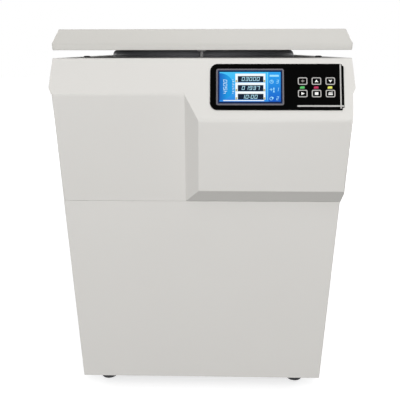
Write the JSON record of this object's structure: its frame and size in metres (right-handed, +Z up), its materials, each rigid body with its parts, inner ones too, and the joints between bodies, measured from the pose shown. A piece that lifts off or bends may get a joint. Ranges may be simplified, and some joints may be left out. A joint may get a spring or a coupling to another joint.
{
  "type": "laboratory centrifuge",
  "caption": "Floor-standing laboratory centrifuge with a swing-out rotor, hinged lid, sloping control panel and levelling feet.",
  "frame": {"origin": "on the floor, at the middle of the overall box", "axes": "+Z up, the front with the control panel faces -Y, +X to the operator's right"},
  "size_m": [0.611, 0.74, 0.8567],
  "materials": {
    "cover_white": "satin moulded, warm off-white",
    "panel_white": "fine powder coat, warm off-white",
    "chassis_grey": "powder coat",
    "steel": "stainless, brushed",
    "zinc": "zinc plated",
    "seal_rubber": "matt black silicone rubber",
    "black_rubber": "matt",
    "bezel_black": "satin black film on a moulded bezel",
    "trim_grey": "light grey",
    "frame_grey": "mauve grey",
    "screen_blue": "lit colour display behind a clear window",
    "lamp_lens": "clear coloured lenses",
    "key_black": "satin film, light printed symbols",
    "board_green": "solder mask",
    "drive_grey": "moulded housing",
    "motor_alloy": "cast and ribbed",
    "rotor_alloy": "machined, clear anodised",
    "bucket_alloy": "machined, clear anodised"
  },
  "bodies": {
    "cabinet": {"top_cover": "cover_white", "front_panel": "panel_white", "rear_panel": "panel_white", "side_panels": "panel_white", "base_plate": "chassis_grey", "chassis_frame": "chassis_grey", "motor_deck": "chassis_grey", "casing_screws": "zinc", "lid_hinge_brackets": "zinc", "lid_hinge_pins": "zinc", "chamber_seal": "seal_rubber", "chamber_wall": "steel", "chamber_floor": "steel", "shaft_boot": "black_rubber", "guard_ring": "chassis_grey", "deck_bumpers": "black_rubber", "lock_housing": "zinc", "motor_body": "motor_alloy", "motor_dampers": "black_rubber", "control_bezel": "bezel_black", "bezel_trim": "trim_grey", "display_frame": "frame_grey", "display_screen": "screen_blue", "status_leds": "lamp_lens", "control_board": "board_green", "motor_drive": "drive_grey", "power_inlet": "bezel_black", "fan_housing": "drive_grey"},
    "lid": {"lid_shell": "cover_white", "lid_liner": "steel", "lid_striker": "steel", "lid_hinge_arms": "zinc"},
    "lock_bolt": {"lock_bolt": "zinc"},
    "rotor": {"motor_shaft": "steel", "rotor_yoke": "rotor_alloy", "rotor_nut": "steel"},
    "gas_spring_left_tube": {"gas_spring_left_tube": "key_black"},
    "gas_spring_left_rod": {"gas_spring_left_rod": "steel"},
    "gas_spring_right_tube": {"gas_spring_right_tube": "key_black"},
    "gas_spring_right_rod": {"gas_spring_right_rod": "steel"},
    "bucket_1": {"bucket_1": "bucket_alloy", "bucket_cushion_1": "black_rubber"},
    "bucket_2": {"bucket_2": "bucket_alloy", "bucket_cushion_2": "black_rubber"},
    "bucket_3": {"bucket_3": "bucket_alloy", "bucket_cushion_3": "black_rubber"},
    "bucket_4": {"bucket_4": "bucket_alloy", "bucket_cushion_4": "black_rubber"},
    "key_set": {"key_set": "key_black"},
    "key_up": {"key_up": "key_black"},
    "key_down": {"key_down": "key_black"},
    "key_start": {"key_start": "key_black"},
    "key_stop": {"key_stop": "key_black"},
    "key_lid": {"key_lid": "key_black"},
    "power_rocker": {"power_rocker": "key_black"},
    "levelling_foot_1": {"levelling_foot_1": "black_rubber"},
    "levelling_foot_2": {"levelling_foot_2": "black_rubber"},
    "levelling_foot_3": {"levelling_foot_3": "black_rubber"},
    "levelling_foot_4": {"levelling_foot_4": "black_rubber"},
    "fan_impeller": {"fan_impeller": "drive_grey"}
  },
  "joints": [
    {"name": "lid_hinge", "type": "hinge", "parent": "cabinet", "child": "lid", "pos_m": [0, 0.332, 0.813], "axis": [-1, 0, 0], "range_deg": [0, 75]},
    {"name": "gas_spring_left_swing", "type": "hinge", "parent": "cabinet", "child": "gas_spring_left_tube", "pos_m": [-0.256, 0.3, 0.69], "axis": [-1, 0, 0], "range_deg": [0, 18.1]},
    {"name": "gas_spring_left_stroke", "type": "slide", "parent": "gas_spring_left_tube", "child": "gas_spring_left_rod", "axis": [0, -0.2435, 0.9699], "range_m": [0, 0.0593]},
    {"name": "gas_spring_right_swing", "type": "hinge", "parent": "cabinet", "child": "gas_spring_right_tube", "pos_m": [0.256, 0.3, 0.69], "axis": [-1, 0, 0], "range_deg": [0, 18.1]},
    {"name": "gas_spring_right_stroke", "type": "slide", "parent": "gas_spring_right_tube", "child": "gas_spring_right_rod", "axis": [0, -0.2435, 0.9699], "range_m": [0, 0.0593]},
    {"name": "lock_bolt_slide", "type": "slide", "parent": "cabinet", "child": "lock_bolt", "axis": [1, 0, 0], "range_m": [0, 0.014]},
    {"name": "rotor_spin", "type": "hinge", "parent": "cabinet", "child": "rotor", "pos_m": [0, 0.013, 0.69], "axis": [0, 0, 1], "continuous": true},
    {"name": "bucket_1_swing", "type": "hinge", "parent": "rotor", "child": "bucket_1", "pos_m": [0.1, 0.013, 0.69], "axis": [0, -1, 0], "range_deg": [-5, 90]},
    {"name": "bucket_2_swing", "type": "hinge", "parent": "rotor", "child": "bucket_2", "pos_m": [0, 0.113, 0.69], "axis": [1, 0, 0], "range_deg": [-5, 90]},
    {"name": "bucket_3_swing", "type": "hinge", "parent": "rotor", "child": "bucket_3", "pos_m": [-0.1, 0.013, 0.69], "axis": [0, 1, 0], "range_deg": [-5, 90]},
    {"name": "bucket_4_swing", "type": "hinge", "parent": "rotor", "child": "bucket_4", "pos_m": [0, -0.087, 0.69], "axis": [-1, 0, 0], "range_deg": [-5, 90]},
    {"name": "key_set_press", "type": "slide", "parent": "cabinet", "child": "key_set", "axis": [0, 0.91, -0.4147], "range_m": [0, 0.0005], "stiffness_N_per_m": 600, "springref_m": -0.0002},
    {"name": "key_up_press", "type": "slide", "parent": "cabinet", "child": "key_up", "axis": [0, 0.91, -0.4147], "range_m": [0, 0.0005], "stiffness_N_per_m": 600, "springref_m": -0.0002},
    {"name": "key_down_press", "type": "slide", "parent": "cabinet", "child": "key_down", "axis": [0, 0.91, -0.4147], "range_m": [0, 0.0005], "stiffness_N_per_m": 600, "springref_m": -0.0002},
    {"name": "key_start_press", "type": "slide", "parent": "cabinet", "child": "key_start", "axis": [0, 0.91, -0.4147], "range_m": [0, 0.0005], "stiffness_N_per_m": 600, "springref_m": -0.0002},
    {"name": "key_stop_press", "type": "slide", "parent": "cabinet", "child": "key_stop", "axis": [0, 0.91, -0.4147], "range_m": [0, 0.0005], "stiffness_N_per_m": 600, "springref_m": -0.0002},
    {"name": "key_lid_press", "type": "slide", "parent": "cabinet", "child": "key_lid", "axis": [0, 0.91, -0.4147], "range_m": [0, 0.0005], "stiffness_N_per_m": 600, "springref_m": -0.0002},
    {"name": "power_rocker_tilt", "type": "hinge", "parent": "cabinet", "child": "power_rocker", "pos_m": [0.21, 0.348, 0.174], "axis": [1, 0, 0], "range_deg": [0, 16]},
    {"name": "levelling_foot_1_screw", "type": "slide", "parent": "cabinet", "child": "levelling_foot_1", "axis": [0, 0, -1], "range_m": [0, 0.012]},
    {"name": "levelling_foot_2_screw", "type": "slide", "parent": "cabinet", "child": "levelling_foot_2", "axis": [0, 0, -1], "range_m": [0, 0.012]},
    {"name": "levelling_foot_3_screw", "type": "slide", "parent": "cabinet", "child": "levelling_foot_3", "axis": [0, 0, -1], "range_m": [0, 0.012]},
    {"name": "levelling_foot_4_screw", "type": "slide", "parent": "cabinet", "child": "levelling_foot_4", "axis": [0, 0, -1], "range_m": [0, 0.012]},
    {"name": "fan_spin", "type": "hinge", "parent": "cabinet", "child": "fan_impeller", "pos_m": [0, 0.33, 0.194], "axis": [0, 1, 0], "continuous": true}
  ],
  "couplings": [
    {"joint": "gas_spring_left_swing", "follows": "lid_hinge", "ratio": 0.2406},
    {"joint": "gas_spring_left_stroke", "follows": "lid_hinge", "m_per_rad": 0.045231},
    {"joint": "gas_spring_right_swing", "follows": "lid_hinge", "ratio": 0.2406},
    {"joint": "gas_spring_right_stroke", "follows": "lid_hinge", "m_per_rad": 0.045231}
  ]
}
